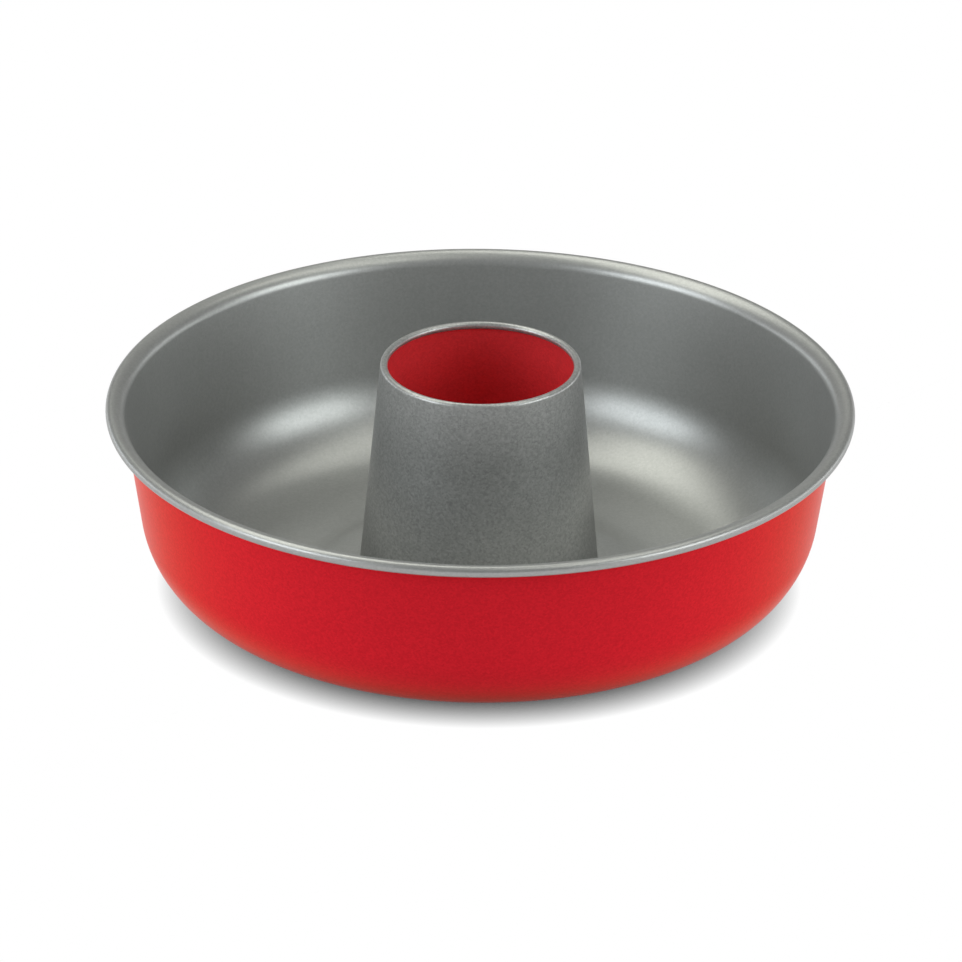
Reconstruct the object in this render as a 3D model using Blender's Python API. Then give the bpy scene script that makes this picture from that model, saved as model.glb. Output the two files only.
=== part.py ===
"""Ring cake pan: a drawn sheet-steel pan with a rolled rim, and a tapered tube seamed into the hole in its floor.

Metres, +Z up. The origin is on the pan's centre line, at the level of the surface that the pan stands on.
Each piece is one sheet of steel: the middle of the sheet is drawn as a path, given its thickness, then turned about Z.
"""

import math

import bmesh
import bpy
from mathutils import Vector

# Sheet steel
SHELL_SHEET = 0.0006
TUBE_SHEET = 0.0006

# Pan shell, measured on its outer face
RIM_RADIUS = 0.140
RIM_HEIGHT = 0.07425
RIM_BEND_RADIUS = 0.0056
RIM_ROLL_RADIUS = 0.0021
RIM_ROLL_END = math.radians(-125)
WALL_DRAFT = math.radians(8.7)
CORNER_RADIUS = 0.0349

# Centre tube, measured on its outer face
TUBE_HEIGHT = 0.0908
TUBE_FOOT_RADIUS = 0.0453
TUBE_DRAFT = math.radians(5.15)
TUBE_CURL_RADIUS = 0.0014
TUBE_CURL_END = math.radians(280)

# Lock seam between them, under a raised middle of the floor
SEAM_GAP = 0.0003
TABLE_GAP = 0.0003
COLLAR_BEND_RADIUS = 0.0006
COLLAR_FLANGE_WIDTH = 0.0022
HOOK_WIDTH = 0.0016
STEP_MARGIN = 0.0010
STEP_SLOPE = math.radians(45)
STEP_BEND_RADIUS = 0.0012

# Finishes
GREY_COAT = (0.30, 0.31, 0.30)
GREY_ROUGHNESS = 0.30
GREY_METALLIC = 0.6
RED_LACQUER = (0.60, 0.012, 0.022)
RED_ROUGHNESS = 0.30
RED_METALLIC = 0.3

# Facets
TURN_STEPS = 72
RIM_BEND_STEPS = 4
ROLL_STEPS = 8
CORNER_STEPS = 7
CURL_STEPS = 8
HOOK_STEPS = 5
BEND_STEPS = 2

# Heights of the folded sheets in the seam, each at the middle of its sheet, from the table up
TUBE_FLANGE_Z = TABLE_GAP + TUBE_SHEET / 2
SHEET_PITCH = (TUBE_SHEET + SHELL_SHEET) / 2 + SEAM_GAP
COLLAR_FLANGE_Z = TUBE_FLANGE_Z + SHEET_PITCH
HOOK_Z = COLLAR_FLANGE_Z + SHEET_PITCH
RAISED_FLOOR_Z = HOOK_Z + SHEET_PITCH
FLOOR_Z = SHELL_SHEET / 2

# The tube's foot fold and the collar's lower bend share one centre
FOOT_BEND_RADIUS = COLLAR_BEND_RADIUS + SHEET_PITCH
SEAM_CENTRE_Z = COLLAR_FLANGE_Z + COLLAR_BEND_RADIUS
FOOT_FACE_RADIUS = FOOT_BEND_RADIUS - TUBE_SHEET / 2
FOOT_FACE_Z = SEAM_CENTRE_Z - FOOT_FACE_RADIUS * math.sin(TUBE_DRAFT)
FOOT_TAPER = (RAISED_FLOOR_Z + SHELL_SHEET / 2 - FOOT_FACE_Z) * math.tan(TUBE_DRAFT)
SEAM_CENTRE_R = TUBE_FOOT_RADIUS + FOOT_TAPER + FOOT_FACE_RADIUS * math.cos(TUBE_DRAFT)

# The hook folds round the edge of the collar's flange
HOOK_CENTRE_R = SEAM_CENTRE_R + COLLAR_FLANGE_WIDTH
HOOK_RADIUS = SHEET_PITCH
SEAM_OUTER_R = HOOK_CENTRE_R + HOOK_RADIUS + TUBE_SHEET / 2


def clear_scene():
    for item in list(bpy.data.objects):
        bpy.data.objects.remove(item, do_unlink=True)


def arc(centre, radius, start, end, steps):
    """Points along an arc, both ends included. Angles run from outwards (+R) towards up (+Z)."""
    points = []
    for step in range(steps + 1):
        angle = start + (end - start) * step / steps
        points.append(Vector((centre[0] + radius * math.cos(angle), centre[1] + radius * math.sin(angle))))
    return points


def sheet_faces(path, thickness):
    """The two faces of a bent sheet: points to the left and to the right of its middle path."""
    ways = [(after - before).normalized() for before, after in zip(path, path[1:])]
    sides = [Vector((-way.y, way.x)) for way in ways]
    left = []
    right = []
    for index, point in enumerate(path):
        before = sides[max(index - 1, 0)]
        after = sides[min(index, len(sides) - 1)]
        mitre = (before + after).normalized()
        offset = mitre * (thickness / 2 / mitre.dot(after))
        left.append(point + offset)
        right.append(point - offset)
    return left, right


def material(name, colour, roughness, metallic):
    made = bpy.data.materials.new(name)
    made.use_nodes = True
    made.diffuse_color = (*colour, 1.0)
    shader = made.node_tree.nodes["Principled BSDF"]
    shader.inputs["Base Color"].default_value = (*colour, 1.0)
    shader.inputs["Roughness"].default_value = roughness
    shader.inputs["Metallic"].default_value = metallic
    return made


def turned_sheet(name, cake_side, other_side, cake_material, other_material):
    """Turns a sheet's outline about Z. Faces of the cake side take the first material, all others the second."""
    mesh = bpy.data.meshes.new(name)
    mesh.materials.append(cake_material)
    mesh.materials.append(other_material)
    work = bmesh.new()
    coated = work.verts.layers.int.new("coated")
    outline = []
    for point in cake_side + other_side[::-1]:
        outline.append(work.verts.new((point.x, 0.0, point.y)))
    for vertex in outline[: len(cake_side)]:
        vertex[coated] = 1
    edges = [work.edges.new(pair) for pair in zip(outline, outline[1:] + outline[:1])]
    bmesh.ops.spin(
        work,
        geom=outline + edges,
        cent=(0.0, 0.0, 0.0),
        axis=(0.0, 0.0, 1.0),
        angle=math.tau,
        steps=TURN_STEPS,
        use_merge=True,
    )
    bmesh.ops.recalc_face_normals(work, faces=work.faces)
    for face in work.faces:
        face.smooth = True
        face.material_index = 0 if all(vertex[coated] for vertex in face.verts) else 1
    work.to_mesh(mesh)
    work.free()
    mesh.set_sharp_from_angle(angle=math.radians(40))
    made = bpy.data.objects.new(name, mesh)
    bpy.context.scene.collection.objects.link(made)
    return made


def shell_path():
    """Middle of the pan's sheet, from the collar in the seam, out over the floor and up the wall to the rolled rim."""
    half = SHELL_SHEET / 2
    # Collar of the floor's hole: a flange under the floor, then up through the hole
    path = [Vector((HOOK_CENTRE_R, COLLAR_FLANGE_Z))]
    path += arc((SEAM_CENTRE_R, SEAM_CENTRE_Z), COLLAR_BEND_RADIUS, -math.pi / 2, -math.pi, BEND_STEPS)
    collar_top = (SEAM_CENTRE_R, RAISED_FLOOR_Z - COLLAR_BEND_RADIUS)
    path += arc(collar_top, COLLAR_BEND_RADIUS, math.pi, math.pi / 2, BEND_STEPS)
    # Step from the raised middle down to the floor that the pan stands on
    rise = RAISED_FLOOR_Z - FLOOR_Z
    bend = min(STEP_BEND_RADIUS, rise / (2 * (1 - math.cos(STEP_SLOPE))))
    top_r = SEAM_OUTER_R + STEP_MARGIN
    run = (rise - 2 * bend * (1 - math.cos(STEP_SLOPE))) / math.tan(STEP_SLOPE) + 2 * bend * math.sin(STEP_SLOPE)
    upright = math.pi / 2
    path += arc((top_r, RAISED_FLOOR_Z - bend), bend, upright, upright - STEP_SLOPE, BEND_STEPS)
    path += arc((top_r + run, FLOOR_Z + bend), bend, -upright - STEP_SLOPE, -upright, BEND_STEPS)
    # Bottom corner, tangent to the floor and to the drafted wall
    bend_middle = RIM_BEND_RADIUS - half
    bend_centre = (RIM_RADIUS - RIM_ROLL_RADIUS, RIM_HEIGHT - RIM_BEND_RADIUS)
    corner_middle = CORNER_RADIUS - half
    wall_lean = (bend_centre[1] - CORNER_RADIUS) * math.tan(WALL_DRAFT)
    corner_r = bend_centre[0] - wall_lean - (corner_middle + bend_middle) / math.cos(WALL_DRAFT)
    path += arc((corner_r, CORNER_RADIUS), corner_middle, -upright, -WALL_DRAFT, CORNER_STEPS)
    # Wall, bent outwards at its top into the rim, then rolled tighter down to the sheet's edge
    path += arc(bend_centre, bend_middle, math.pi - WALL_DRAFT, upright, RIM_BEND_STEPS)
    roll_centre = (RIM_RADIUS - RIM_ROLL_RADIUS, RIM_HEIGHT - RIM_ROLL_RADIUS)
    path += arc(roll_centre, RIM_ROLL_RADIUS - half, upright, RIM_ROLL_END, ROLL_STEPS)[1:]
    return path


def tube_path():
    """Middle of the tube's sheet, from the hook in the seam, round its foot and up to the edge curled inwards."""
    # Hook that closes over the collar's flange, then the flange below it
    path = [Vector((HOOK_CENTRE_R - HOOK_WIDTH, HOOK_Z))]
    path += arc((HOOK_CENTRE_R, COLLAR_FLANGE_Z), HOOK_RADIUS, math.pi / 2, -math.pi / 2, HOOK_STEPS)
    # Foot fold, up into the tapered tube
    foot_start = -math.pi / 2
    foot_end = -math.pi + TUBE_DRAFT
    path += arc((SEAM_CENTRE_R, SEAM_CENTRE_Z), FOOT_BEND_RADIUS, foot_start, foot_end, BEND_STEPS)
    # Top edge, curled inwards
    curl_middle = TUBE_CURL_RADIUS - TUBE_SHEET / 2
    curl_z = TUBE_HEIGHT - TUBE_CURL_RADIUS
    lean = (curl_z - SEAM_CENTRE_Z) * math.tan(TUBE_DRAFT)
    curl_r = SEAM_CENTRE_R - lean - (FOOT_BEND_RADIUS + curl_middle) / math.cos(TUBE_DRAFT)
    path += arc((curl_r, curl_z), curl_middle, TUBE_DRAFT, TUBE_CURL_END, CURL_STEPS)
    return path


def make_pan_shell():
    grey = material("shell_grey_nonstick", GREY_COAT, GREY_ROUGHNESS, GREY_METALLIC)
    red = material("shell_red_lacquer", RED_LACQUER, RED_ROUGHNESS, RED_METALLIC)
    cake_side, other_side = sheet_faces(shell_path(), SHELL_SHEET)
    return turned_sheet("pan_shell", cake_side, other_side, grey, red)


def make_centre_tube():
    grey = material("tube_grey_nonstick", GREY_COAT, GREY_ROUGHNESS, GREY_METALLIC)
    red = material("tube_red_lacquer", RED_LACQUER, RED_ROUGHNESS, RED_METALLIC)
    other_side, cake_side = sheet_faces(tube_path(), TUBE_SHEET)
    return turned_sheet("centre_tube", cake_side, other_side, grey, red)


clear_scene()
make_pan_shell()
make_centre_tube()
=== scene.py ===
"""Ring cake pan on a white table: the coated shell, the tube seamed into it, and soft studio light."""
import math

import bmesh
import bpy
from mathutils import Matrix, Vector


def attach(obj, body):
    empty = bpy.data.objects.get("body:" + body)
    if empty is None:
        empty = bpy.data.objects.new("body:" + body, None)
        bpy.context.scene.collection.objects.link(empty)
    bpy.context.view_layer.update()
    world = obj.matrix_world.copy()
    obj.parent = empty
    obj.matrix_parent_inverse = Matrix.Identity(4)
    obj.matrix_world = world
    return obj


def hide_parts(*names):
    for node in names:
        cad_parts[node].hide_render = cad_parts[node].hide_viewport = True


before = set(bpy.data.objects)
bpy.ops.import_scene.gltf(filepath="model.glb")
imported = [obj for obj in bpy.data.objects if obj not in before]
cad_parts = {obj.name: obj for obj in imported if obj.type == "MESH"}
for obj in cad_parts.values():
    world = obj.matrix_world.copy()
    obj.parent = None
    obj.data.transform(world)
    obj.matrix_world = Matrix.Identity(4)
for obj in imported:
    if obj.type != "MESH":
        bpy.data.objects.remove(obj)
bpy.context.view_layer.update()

# Pan shell
# A round blank of thin sheet steel, drawn deep in a press, its edge rolled outwards into the rim. The hole
# in its floor is flanged for the tube. Its cake side and rim have a grey non-stick coat with fine metal
# flakes, its outside has a red lacquer.
SHELL_SHEET = 0.0006
RIM_RADIUS = 0.140
RIM_HEIGHT = 0.07425
RIM_BEND_RADIUS = 0.0056
RIM_ROLL_RADIUS = 0.0021
RIM_ROLL_END = math.radians(-125)
WALL_DRAFT = math.radians(8.7)
CORNER_RADIUS = 0.0349
SHELL_FLOOR_Z = SHELL_SHEET / 2
RAISED_FLOOR_Z = 0.0033
COLLAR_RADIUS = 0.04664
COLLAR_FLANGE_Z = 0.0015
COLLAR_FLANGE_EDGE = 0.04884
COLLAR_BEND_RADIUS = 0.0006
STEP_TOP_RADIUS = 0.05104
STEP_SLOPE = math.radians(15)
STEP_BEND_RADIUS = 0.040
SHELL_TURN_STEPS = 256
COLLAR_STEPS = 5
STEP_STEPS = 12
CORNER_STEPS = 26
RIM_BEND_STEPS = 14
RIM_ROLL_STEPS = 32
SHARP_EDGE = math.radians(40)
UPRIGHT = math.pi / 2

GREY_LIGHT = (0.50, 0.505, 0.498)
GREY_DARK = (0.31, 0.314, 0.309)
GREY_ROUGHNESS = 0.36
GREY_ROUGHNESS_RANGE = 0.04
GREY_METALLIC = 0.66
GREY_GLOSS = 0.3
GREY_SHEEN = (0.7, 0.7, 0.7, 1.0)
GREY_MOTTLE = 0.2
SHELL_SPECKLE = 0.22
RED_DEEP = (0.68, 0.014, 0.026)
RED_BRIGHT = (0.86, 0.022, 0.037)
RED_ROUGHNESS = 0.30
RED_ROUGHNESS_RANGE = 0.05
RED_METALLIC = 0.28
RED_GLOSS = 0.08
RED_IOR = 1.25
RED_SHEEN = (1.0, 0.74, 0.42, 1.0)
RED_SPECKLE = 0.55
RED_GRAIN = 0.65
RED_MOTTLE = 0.3
STEEL_DARK = (0.42, 0.41, 0.40)
STEEL_LIGHT = (0.55, 0.54, 0.52)
STEEL_ROUGHNESS = 0.30
STEEL_ROUGHNESS_RANGE = 0.20
FLAKES_PER_METRE = 1500
PEEL_PER_METRE = 520
MOTTLE_PER_METRE = 22
PEEL_DEPTH = 0.00002
GRAIN_PER_SPECKLE = 1.5
GRAIN_RELIEF = 0.5


class Value:
    """One output of a finish's nodes. Sums, products and powers of values add the Math nodes they need."""

    def __init__(self, finish, socket):
        self.finish = finish
        self.socket = socket

    def maths(self, operation, first, second):
        return self.finish.node("ShaderNodeMath", {"operation": operation}, {0: first, 1: second})

    def __add__(self, other):
        return self.maths("ADD", self, other)

    __radd__ = __add__

    def __sub__(self, other):
        return self.maths("SUBTRACT", self, other)

    def __rsub__(self, other):
        return self.maths("SUBTRACT", other, self)

    def __mul__(self, other):
        return self.maths("MULTIPLY", self, other)

    __rmul__ = __mul__

    def __pow__(self, other):
        return self.maths("POWER", self, other)

    def __abs__(self):
        return self.maths("ABSOLUTE", self, 0.0)


class Finish:
    """The nodes of a material, or of the room's light, which are added one by one."""

    def __init__(self, name, kind=bpy.data.materials):
        self.owner = kind.new(name)
        self.owner.use_nodes = True
        self.tree = self.owner.node_tree
        self.tree.nodes.clear()

    def node(self, kind, settings, sockets, output=0):
        made = self.tree.nodes.new(kind)
        for name, setting in settings.items():
            setattr(made, name, setting)
        for name, value in sockets.items():
            if isinstance(value, Value):
                self.tree.links.new(value.socket, made.inputs[name])
            else:
                made.inputs[name].default_value = value
        return Value(self, made.outputs[output]) if made.outputs else None

    def noise(self, per_metre, detail=2.0):
        """A soft random value from 0 to 1 that changes over about one part in per_metre of a metre."""
        place = self.node("ShaderNodeTexCoord", {}, {}, "Object")
        sockets = {"Vector": place, "Scale": per_metre, "Detail": detail}
        return self.node("ShaderNodeTexNoise", {"noise_dimensions": "3D"}, sockets, "Fac")

    def cells(self, per_metre):
        """A random value from 0 to 1 for each small cell, as for the flakes in a paint."""
        place = self.node("ShaderNodeTexCoord", {}, {}, "Object")
        colour = self.node("ShaderNodeTexVoronoi", {}, {"Vector": place, "Scale": per_metre}, "Color")
        return self.node("ShaderNodeSeparateColor", {}, {"Color": colour}, "Red")

    def mix(self, factor, first, second):
        # A Mix node repeats its sockets for each kind of data. By number these are the colour ones.
        sockets = {0: factor, 6: (*first, 1.0), 7: (*second, 1.0)}
        return self.node("ShaderNodeMix", {"data_type": "RGBA"}, sockets, 2)

    def bump(self, height, distance):
        sockets = {"Height": height, "Distance": distance, "Strength": 1.0}
        return self.node("ShaderNodeBump", {}, sockets, "Normal")

    def surface(self, **sockets):
        """Puts the Principled shader on the material, with these values for its sockets."""
        named = {name.replace("_", " "): value for name, value in sockets.items()}
        shader = self.node("ShaderNodeBsdfPrincipled", {}, named)
        self.node("ShaderNodeOutputMaterial", {}, {"Surface": shader})
        return self.owner


def grey_nonstick(name, speckle):
    """The grey coat with its flakes. speckle sets how far the flakes differ from each other."""
    finish = Finish(name)
    flakes = finish.cells(FLAKES_PER_METRE)
    grain = finish.noise(FLAKES_PER_METRE / 2)
    mottle = finish.noise(MOTTLE_PER_METRE)
    fine = (flakes - 0.5) * speckle + (grain - 0.5) * (speckle * GRAIN_PER_SPECKLE)
    tone = 0.5 + fine + (mottle - 0.5) * GREY_MOTTLE
    peel = finish.noise(PEEL_PER_METRE)
    return finish.surface(
        Base_Color=finish.mix(tone, GREY_DARK, GREY_LIGHT),
        Metallic=GREY_METALLIC,
        Roughness=GREY_ROUGHNESS + (mottle - 0.5) * GREY_ROUGHNESS_RANGE,
        Specular_IOR_Level=GREY_GLOSS,
        Specular_Tint=GREY_SHEEN,
        Normal=finish.bump(peel + grain * GRAIN_RELIEF, PEEL_DEPTH),
    )


def red_lacquer(name, deep, bright):
    """The red lacquer, also with fine flakes. Its colour varies between deep and bright."""
    finish = Finish(name)
    flakes = finish.cells(FLAKES_PER_METRE)
    grain = finish.noise(FLAKES_PER_METRE / 2)
    mottle = finish.noise(MOTTLE_PER_METRE)
    fine = (flakes - 0.5) * RED_SPECKLE + (grain - 0.5) * RED_GRAIN
    tone = 0.5 + fine + (mottle - 0.5) * RED_MOTTLE
    peel = finish.noise(PEEL_PER_METRE)
    return finish.surface(
        Base_Color=finish.mix(tone, deep, bright),
        Metallic=RED_METALLIC,
        Roughness=RED_ROUGHNESS + (mottle - 0.5) * RED_ROUGHNESS_RANGE,
        IOR=RED_IOR,
        Specular_IOR_Level=RED_GLOSS,
        Specular_Tint=RED_SHEEN,
        Normal=finish.bump(peel, PEEL_DEPTH),
    )


def cut_steel():
    """Bare steel, where the sheet was cut."""
    finish = Finish("cut_steel_edge")
    grain = finish.noise(FLAKES_PER_METRE)
    return finish.surface(
        Base_Color=finish.mix(grain, STEEL_DARK, STEEL_LIGHT),
        Metallic=1.0,
        Roughness=STEEL_ROUGHNESS + grain * STEEL_ROUGHNESS_RANGE,
    )


def roll_on(path, point, centre, angle, steps):
    """Lays the sheet round a centre from its last point on."""
    made = bmesh.ops.spin(
        path,
        geom=[point],
        cent=(centre[0], 0.0, centre[1]),
        axis=(0.0, -1.0, 0.0),
        angle=angle,
        steps=steps,
    )
    return made["geom_last"][0]


def bend(path, point, centre, radius, start, end, steps):
    """Lays the sheet straight to a bend, then round it. Angles run from outwards towards up."""
    begin = bmesh.ops.extrude_vert_indiv(path, verts=[point])["verts"][0]
    begin.co = (centre[0] + radius * math.cos(start), 0.0, centre[1] + radius * math.sin(start))
    return roll_on(path, begin, centre, end - start, steps)


def turned_sheet(name, path, thickness, steps, finishes, flip):
    """Turns a sheet's middle about Z and thickens it. finishes: cake side, other side and cut edges."""
    bmesh.ops.spin(
        path,
        geom=path.verts[:] + path.edges[:],
        cent=(0.0, 0.0, 0.0),
        axis=(0.0, 0.0, 1.0),
        angle=math.tau,
        steps=steps,
        use_merge=True,
    )
    if flip:
        bmesh.ops.reverse_faces(path, faces=path.faces)
    for face in path.faces:
        face.smooth = True
    middle = bpy.data.meshes.new(name + "_middle")
    path.to_mesh(middle)
    path.free()
    for finish in finishes:
        middle.materials.append(finish)
    piece = bpy.data.objects.new(name, middle)
    bpy.context.scene.collection.objects.link(piece)
    wall = piece.modifiers.new("sheet", "SOLIDIFY")
    wall.thickness = thickness
    wall.offset = 0.0
    wall.use_even_offset = True
    wall.material_offset = 1
    wall.material_offset_rim = 2
    formed = bpy.data.meshes.new_from_object(piece.evaluated_get(bpy.context.evaluated_depsgraph_get()))
    piece.modifiers.clear()
    piece.data = formed
    bpy.data.meshes.remove(middle)
    formed.name = name
    formed.set_sharp_from_angle(angle=SHARP_EDGE)
    return piece


def shell_path():
    """Middle of the pan's sheet, from its collar in the seam, over the floor and up the wall to the rim."""
    path = bmesh.new()
    point = path.verts.new((COLLAR_FLANGE_EDGE, 0.0, COLLAR_FLANGE_Z))
    collar_foot = (COLLAR_RADIUS, COLLAR_FLANGE_Z + COLLAR_BEND_RADIUS)
    point = bend(path, point, collar_foot, COLLAR_BEND_RADIUS, -UPRIGHT, -math.pi, COLLAR_STEPS)
    collar_top = (COLLAR_RADIUS, RAISED_FLOOR_Z - COLLAR_BEND_RADIUS)
    point = bend(path, point, collar_top, COLLAR_BEND_RADIUS, math.pi, UPRIGHT, COLLAR_STEPS)
    # Step from the raised middle down to the flat ring of floor that the pan stands on
    rise = RAISED_FLOOR_Z - SHELL_FLOOR_Z
    step_top = (STEP_TOP_RADIUS, RAISED_FLOOR_Z - STEP_BEND_RADIUS)
    straight = (rise - 2 * STEP_BEND_RADIUS * (1 - math.cos(STEP_SLOPE))) / math.tan(STEP_SLOPE)
    run = straight + 2 * STEP_BEND_RADIUS * math.sin(STEP_SLOPE)
    step_foot = (STEP_TOP_RADIUS + run, SHELL_FLOOR_Z + STEP_BEND_RADIUS)
    point = bend(path, point, step_top, STEP_BEND_RADIUS, UPRIGHT, UPRIGHT - STEP_SLOPE, STEP_STEPS)
    point = bend(path, point, step_foot, STEP_BEND_RADIUS, -UPRIGHT - STEP_SLOPE, -UPRIGHT, STEP_STEPS)
    # Bottom corner and drafted wall, then the rim: bent outwards, and rolled tighter down to the edge
    corner_middle = CORNER_RADIUS - SHELL_SHEET / 2
    bend_middle = RIM_BEND_RADIUS - SHELL_SHEET / 2
    rim_crest = RIM_RADIUS - RIM_ROLL_RADIUS
    bend_centre = (rim_crest, RIM_HEIGHT - RIM_BEND_RADIUS)
    wall_lean = (bend_centre[1] - CORNER_RADIUS) * math.tan(WALL_DRAFT)
    corner_r = rim_crest - wall_lean - (corner_middle + bend_middle) / math.cos(WALL_DRAFT)
    corner = (corner_r, CORNER_RADIUS)
    point = bend(path, point, corner, corner_middle, -UPRIGHT, -WALL_DRAFT, CORNER_STEPS)
    point = bend(path, point, bend_centre, bend_middle, math.pi - WALL_DRAFT, UPRIGHT, RIM_BEND_STEPS)
    roll_centre = (rim_crest, RIM_HEIGHT - RIM_ROLL_RADIUS)
    roll_on(path, point, roll_centre, RIM_ROLL_END - UPRIGHT, RIM_ROLL_STEPS)
    return path


LACQUER = red_lacquer("red_lacquer", RED_DEEP, RED_BRIGHT)
CUT_EDGE = cut_steel()
SHELL_COATS = (grey_nonstick("grey_shell_coat", SHELL_SPECKLE), LACQUER, CUT_EDGE)
pan_shell = turned_sheet("shell", shell_path(), SHELL_SHEET, SHELL_TURN_STEPS, SHELL_COATS, False)
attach(pan_shell, "root")
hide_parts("pan_shell")

# Centre tube
# A tapered tube of the same coated sheet, open at both ends. Its top edge is curled inwards. Its foot goes
# through the hole in the shell's floor and is folded round the shell's flange, a lock seam with no rivet
# or weld. Its grey coat looks grainier than the shell's.
TUBE_SHEET = 0.0006
TUBE_HEIGHT = 0.0908
TUBE_DRAFT = math.radians(5.15)
TUBE_CURL_RADIUS = 0.0014
TUBE_CURL_END = math.radians(280)
FOOT_BEND_RADIUS = 0.0015
HOOK_RADIUS = 0.0009
HOOK_WIDTH = 0.0016
HOOK_Z = COLLAR_FLANGE_Z + HOOK_RADIUS
TUBE_TURN_STEPS = 192
HOOK_STEPS = 12
FOOT_STEPS = 8
CURL_STEPS = 30
TUBE_SPECKLE = 0.6
# Painted sheen: the same red lacquer as the shell's outside, made lighter and paler for the tube's inside
TUBE_RED_WITH_SHEEN_DEEP = (0.80, 0.050, 0.062)
TUBE_RED_WITH_SHEEN_BRIGHT = (0.98, 0.070, 0.083)


def tube_path():
    """Middle of the tube's sheet, from the hook in the seam, round its foot and up to its curled edge."""
    path = bmesh.new()
    point = path.verts.new((COLLAR_FLANGE_EDGE - HOOK_WIDTH, 0.0, HOOK_Z))
    hook_centre = (COLLAR_FLANGE_EDGE, COLLAR_FLANGE_Z)
    point = bend(path, point, hook_centre, HOOK_RADIUS, UPRIGHT, -UPRIGHT, HOOK_STEPS)
    foot_centre = (COLLAR_RADIUS, COLLAR_FLANGE_Z + COLLAR_BEND_RADIUS)
    foot_end = -math.pi + TUBE_DRAFT
    point = bend(path, point, foot_centre, FOOT_BEND_RADIUS, -UPRIGHT, foot_end, FOOT_STEPS)
    curl_middle = TUBE_CURL_RADIUS - TUBE_SHEET / 2
    curl_z = TUBE_HEIGHT - TUBE_CURL_RADIUS
    lean = (curl_z - foot_centre[1]) * math.tan(TUBE_DRAFT)
    curl_r = COLLAR_RADIUS - lean - (FOOT_BEND_RADIUS + curl_middle) / math.cos(TUBE_DRAFT)
    bend(path, point, (curl_r, curl_z), curl_middle, TUBE_DRAFT, TUBE_CURL_END, CURL_STEPS)
    return path


TUBE_LACQUER_WITH_PAINTED_SHEEN = red_lacquer("red_tube_lacquer_painted_sheen", TUBE_RED_WITH_SHEEN_DEEP, TUBE_RED_WITH_SHEEN_BRIGHT)
TUBE_COATS = (grey_nonstick("grey_tube_coat", TUBE_SPECKLE), TUBE_LACQUER_WITH_PAINTED_SHEEN, CUT_EDGE)
tube = turned_sheet("tube", tube_path(), TUBE_SHEET, TUBE_TURN_STEPS, TUBE_COATS, True)
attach(tube, "root")
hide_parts("centre_tube")

# Table
# A seamless sweep, seen pure white by the camera, with a painted neutral contact shadow close to the pan
# and painted shade under the tube. It throws light back onto the pan as a cloth would, with painted
# shade on it: dark grey in front of the pan and light grey at both sides and behind. It lies a hair
# lower than the pan, so no two faces share a plane.
TABLE_SIZE = 12.0
TABLE_GAP = 0.0001
# Painted shade on the cloth: near black in front of the pan, where its shadow falls, light grey behind
CLOTH_PAINTED_SHADE_IN_FRONT = (0.05, 0.05, 0.05, 1.0)
CLOTH_PAINTED_LIGHT_BEHIND = (0.70, 0.70, 0.70, 1.0)
CLOTH_SHADE_FULL_REACH = -0.22
CLOTH_SHADE_END_REACH = 0.0
# Painted shadow on the white: a contact shadow near the pan and shade on the table under the tube
SHADOW_REACH = 0.0105
SHADOW_DEPTH = 0.7
SHADOW_SAMPLES = 16
PAINTED_SHADE_UNDER_TUBE = 0.04
TUBE_SHADE_RADIUS = 0.043
TUBE_SHADE_END_RADIUS = 0.047


def seen_rays(finish):
    """1 for the rays that show a surface as it looks: straight to the camera, mirrored or through glass."""
    seen = [finish.node("ShaderNodeLightPath", {}, {}, ray) for ray in ("Is Camera Ray", "Is Glossy Ray")]
    return seen[0] + seen[1] + finish.node("ShaderNodeLightPath", {}, {}, "Is Transmission Ray")


table_finish = Finish("white_table")
table_place = table_finish.node("ShaderNodeTexCoord", {}, {}, "Object")
sideways = table_finish.node("ShaderNodeSeparateXYZ", {}, {0: table_place}, "X")
back = table_finish.node("ShaderNodeSeparateXYZ", {}, {0: table_place}, "Y")
# Painted shade on the cloth: it grows lighter towards the back and towards both sides
painted_light_way = back + abs(sideways)
span = {"Value": painted_light_way, "From Min": CLOTH_SHADE_FULL_REACH, "From Max": CLOTH_SHADE_END_REACH}
painted_light_share = table_finish.node("ShaderNodeMapRange", {"interpolation_type": "SMOOTHSTEP"}, span)
shaded_cloth = table_finish.node("ShaderNodeBsdfDiffuse", {}, {"Color": CLOTH_PAINTED_SHADE_IN_FRONT})
lit_cloth = table_finish.node("ShaderNodeBsdfDiffuse", {}, {"Color": CLOTH_PAINTED_LIGHT_BEHIND})
cloth_with_painted_shade = table_finish.node("ShaderNodeMixShader", {}, {0: painted_light_share, 1: shaded_cloth, 2: lit_cloth})
# Painted shadow: occlusion near the pan and a dark disc under the tube darken the white seen by the camera
occlusion = {"Distance": SHADOW_REACH}
painted_contact_shadow = table_finish.node("ShaderNodeAmbientOcclusion", {"samples": SHADOW_SAMPLES}, occlusion, "AO")
outwards = table_finish.node("ShaderNodeVectorMath", {"operation": "LENGTH"}, {0: table_place}, "Value")
edge = {"Value": outwards, "From Min": TUBE_SHADE_RADIUS, "From Max": TUBE_SHADE_END_RADIUS, "To Min": PAINTED_SHADE_UNDER_TUBE}
painted_shade_under_tube = table_finish.node("ShaderNodeMapRange", {"interpolation_type": "SMOOTHSTEP"}, edge)
paper_with_painted_shadow = table_finish.node("ShaderNodeEmission", {}, {"Color": painted_contact_shadow**SHADOW_DEPTH * painted_shade_under_tube})
both = table_finish.node("ShaderNodeMixShader", {}, {0: seen_rays(table_finish), 1: cloth_with_painted_shade, 2: paper_with_painted_shadow})
table_finish.node("ShaderNodeOutputMaterial", {}, {"Surface": both})
sweep = bmesh.new()
below = Matrix.Translation((0.0, 0.0, -TABLE_GAP))
bmesh.ops.create_grid(sweep, x_segments=1, y_segments=1, size=TABLE_SIZE / 2, matrix=below)
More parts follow.
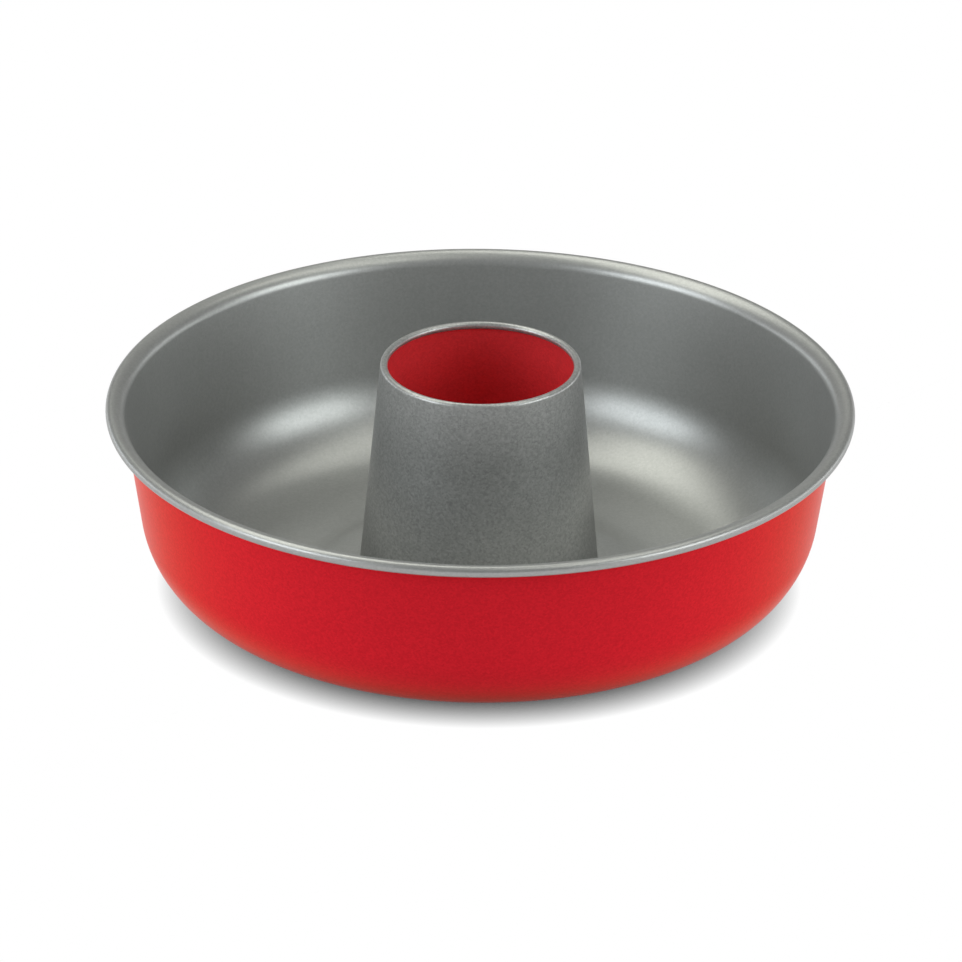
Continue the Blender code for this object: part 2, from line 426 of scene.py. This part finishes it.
table_mesh = bpy.data.meshes.new("table")
sweep.to_mesh(table_mesh)
sweep.free()
table_mesh.materials.append(table_finish.owner)
table = bpy.data.objects.new("table", table_mesh)
bpy.context.scene.collection.objects.link(table)

# Studio light
# Two large soft boxes in front, left and right of the camera, a low one at each side, a high one at the
# back left and one at the right, in a dim room that is white only near its floor. Each has its name,
# azimuth and elevation in degrees, size, the brightness of its face, where 1 is white, and its tint.
LAMP_DISTANCE = 4.0
COOL = (0.95, 1.01, 1.04)
NEUTRAL = (0.96, 1.01, 1.00)
WARM = (0.98, 0.99, 0.90)
SOFTBOXES = (
    ("left_front", 208, 24, (2.4, 1.8), 4.1, COOL),
    ("right_front", 334, 24, (2.3, 1.8), 3.9, NEUTRAL),
    ("left_side", 150, 5, (3.4, 0.9), 1.5, COOL),
    ("right_side", 20, 5, (3.4, 0.9), 1.5, NEUTRAL),
    ("high_back", 140, 60, (5.0, 1.8), 2.7, WARM),
    ("high_right", 0, 69, (4.2, 1.5), 1.7, WARM),
)
BACKDROP_TOP = math.sin(math.radians(4))
STUDIO_START = math.sin(math.radians(8))
STUDIO_LIGHT = (0.22, 0.22, 0.22)
BACKDROP_LIGHT = (1.0, 1.0, 1.0)


def softbox(name, azimuth, elevation, size, brightness, tint):
    """A soft box facing the pan. Azimuths run anticlockwise from the pan's right: the camera's is 270."""
    lamp = bpy.data.lights.new(name, "AREA")
    lamp.shape = "RECTANGLE"
    lamp.size, lamp.size_y = size
    lamp.color = tint
    lamp.energy = math.pi * brightness * size[0] * size[1]
    made = bpy.data.objects.new(name, lamp)
    around = math.radians(azimuth)
    level = math.cos(math.radians(elevation))
    height = math.sin(math.radians(elevation))
    way = Vector((level * math.cos(around), level * math.sin(around), height))
    made.location = way * LAMP_DISTANCE
    made.rotation_euler = (-way).to_track_quat("-Z", "Y").to_euler()
    made.visible_camera = False
    bpy.context.scene.collection.objects.link(made)


for softbox_values in SOFTBOXES:
    softbox(*softbox_values)

room = Finish("studio_room", bpy.data.worlds)
way_up = room.node("ShaderNodeTexCoord", {}, {}, "Generated")
rise = room.node("ShaderNodeSeparateXYZ", {}, {0: way_up}, "Z")
reach = {"Value": rise, "From Min": BACKDROP_TOP, "From Max": STUDIO_START}
above_backdrop = room.node("ShaderNodeMapRange", {"interpolation_type": "SMOOTHSTEP"}, reach)
walls = room.mix(above_backdrop, BACKDROP_LIGHT, STUDIO_LIGHT)
glow = room.node("ShaderNodeBackground", {}, {"Color": walls})
room.node("ShaderNodeOutputWorld", {}, {"Surface": glow})
bpy.context.scene.world = room.owner

# Camera
# A long lens, far off and looking down about 26 degrees, as for a catalogue picture. Its place, angles,
# slight roll and focal length, in pixels of the photograph, come from a fit to the outlines of the pan.
PHOTO_SIDE = 962
FOCAL_PIXELS = 10118.4
SENSOR_WIDTH = 36.0
AIM_HEIGHT = 0.0715
CAMERA_DISTANCE = 3.78122
CAMERA_ELEVATION = math.radians(25.4682)
CAMERA_YAW = math.radians(0.0084)
CAMERA_TILT = math.radians(25.8737)
CAMERA_ROLL = math.radians(0.5256)
VIEW_REACH = 50.0

lens = bpy.data.cameras.new("camera")
lens.sensor_width = SENSOR_WIDTH
lens.lens = FOCAL_PIXELS * SENSOR_WIDTH / PHOTO_SIDE
lens.clip_end = VIEW_REACH
camera = bpy.data.objects.new("camera", lens)
level_reach = CAMERA_DISTANCE * math.cos(CAMERA_ELEVATION)
place = Vector((0.0, -level_reach, AIM_HEIGHT + CAMERA_DISTANCE * math.sin(CAMERA_ELEVATION)))
level = math.cos(CAMERA_TILT)
ahead = Vector((math.sin(CAMERA_YAW) * level, math.cos(CAMERA_YAW) * level, -math.sin(CAMERA_TILT)))
right = ahead.cross(Vector((0.0, 0.0, 1.0))).normalized()
above = right.cross(ahead)
picture_right = right * math.cos(CAMERA_ROLL) + above * math.sin(CAMERA_ROLL)
picture_up = above * math.cos(CAMERA_ROLL) - right * math.sin(CAMERA_ROLL)
turn = Matrix((picture_right, picture_up, -ahead)).transposed().to_4x4()
camera.matrix_world = Matrix.Translation(place) @ turn
bpy.context.scene.collection.objects.link(camera)
bpy.context.scene.camera = camera
bpy.context.scene.view_settings.view_transform = "Standard"
